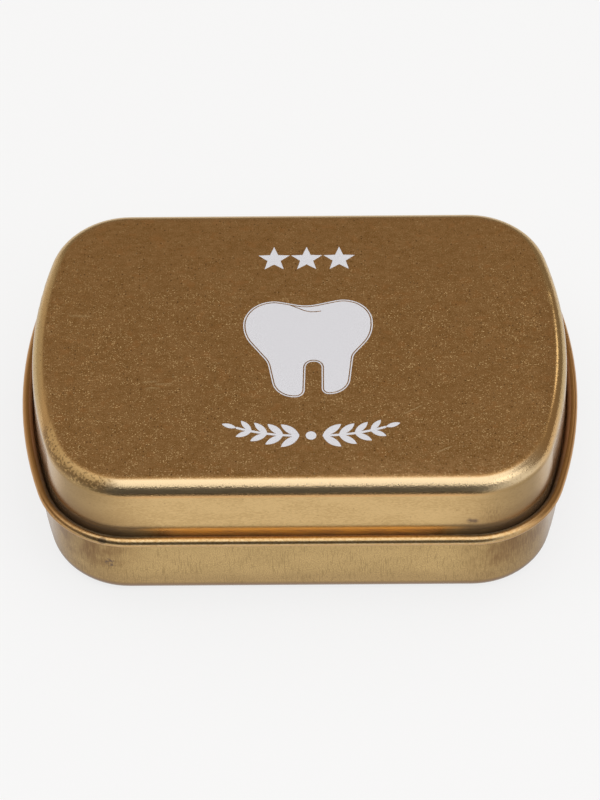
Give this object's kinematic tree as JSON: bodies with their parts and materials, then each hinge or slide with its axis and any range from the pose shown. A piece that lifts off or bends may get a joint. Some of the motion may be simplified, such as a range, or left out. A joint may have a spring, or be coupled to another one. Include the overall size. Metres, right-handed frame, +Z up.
{
  "type": "baby tooth box",
  "caption": "Small shallow hinged tin with bowed ends and round corners, a rolled bead round the base's rim, a pull-up lid and a printed tooth on the lid.",
  "frame": {"origin": "middle of the underside of the box", "axes": "+X along the long sides, +Y from the front towards the hinge, +Z up"},
  "size_m": [0.08, 0.056, 0.0243],
  "materials": {
    "base_tinplate": "gold lacquer on brushed tinplate",
    "lid_tinplate": "gold lacquer on brushed tinplate",
    "wire_steel": "drawn wire",
    "print_ink": "white printed ink"
  },
  "bodies": {
    "base": {"base_shell": "base_tinplate", "hinge_wire": "wire_steel"},
    "lid": {"lid_shell": "lid_tinplate", "tooth_print": "print_ink", "tooth_outline_print": "print_ink", "star_prints": "print_ink", "leaf_print": "print_ink"}
  },
  "joints": [
    {"name": "lid_hinge", "type": "hinge", "parent": "base", "child": "lid", "pos_m": [0, 0.02725, 0.01315], "axis": [-1, 0, 0], "range_deg": [0, 110]}
  ]
}
